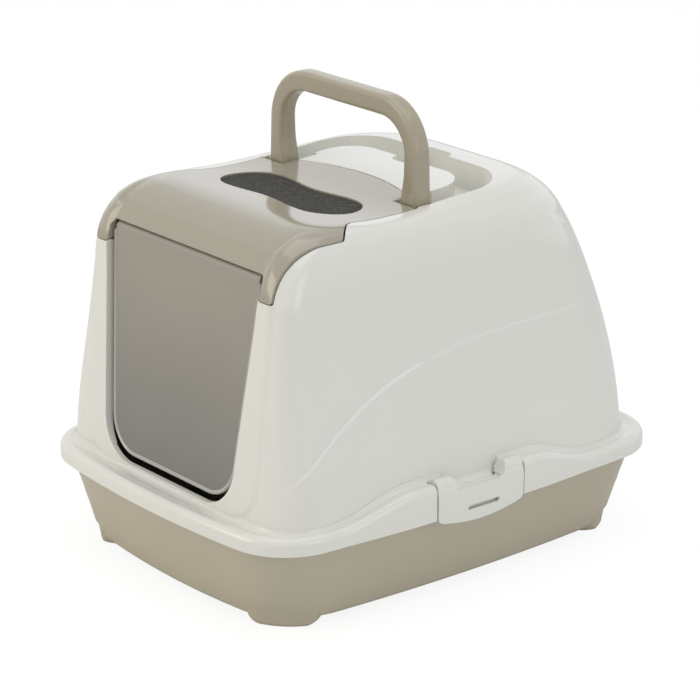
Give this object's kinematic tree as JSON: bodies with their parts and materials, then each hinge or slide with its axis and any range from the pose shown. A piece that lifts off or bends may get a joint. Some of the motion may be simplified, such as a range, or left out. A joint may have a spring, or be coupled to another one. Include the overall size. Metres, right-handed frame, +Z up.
{
  "type": "covered litter box",
  "caption": "Covered litter box: tray, clip-on hood, lift-up top flap with swing door and carbon filter, fold-back carrying handle and two side clips.",
  "frame": {"origin": "on the floor under the middle of the footprint", "axes": "+Z up, the door faces -Y, +X towards the long side on the viewer's right of the door"},
  "size_m": [0.396, 0.5018, 0.453],
  "materials": {
    "tray_plastic": "satin",
    "hood_plastic": "gloss",
    "taupe_plastic": "gloss",
    "door_plastic": "gloss",
    "carbon_foam": "matte"
  },
  "bodies": {
    "base": {"tray": "tray_plastic", "hood": "hood_plastic", "doorway_surround": "hood_plastic"},
    "flap": {"top_flap": "taupe_plastic", "filter_pad": "carbon_foam", "filter_cover": "taupe_plastic"},
    "door": {"door": "door_plastic"},
    "handle": {"handle": "taupe_plastic"},
    "clip_right": {"clip_right": "hood_plastic"},
    "clip_left": {"clip_left": "hood_plastic"}
  },
  "joints": [
    {"name": "flap_hinge", "type": "hinge", "parent": "base", "child": "flap", "pos_m": [0, -0.038, 0.3502], "axis": [-1, 0, 0], "range_deg": [0, 85]},
    {"name": "door_swing", "type": "hinge", "parent": "flap", "child": "door", "pos_m": [0, -0.1894, 0.32], "axis": [-1, 0, 0], "range_deg": [-70, 75]},
    {"name": "handle_fold", "type": "hinge", "parent": "base", "child": "handle", "pos_m": [0, -0.005, 0.35], "axis": [-1, 0, 0], "range_deg": [0, 90]},
    {"name": "clip_right_hinge", "type": "hinge", "parent": "base", "child": "clip_right", "pos_m": [0.189, -0.0085, 0.1165], "axis": [0, -1, 0], "range_deg": [0, 75]},
    {"name": "clip_left_hinge", "type": "hinge", "parent": "base", "child": "clip_left", "pos_m": [-0.189, -0.0085, 0.1165], "axis": [0, 1, 0], "range_deg": [0, 75]}
  ]
}
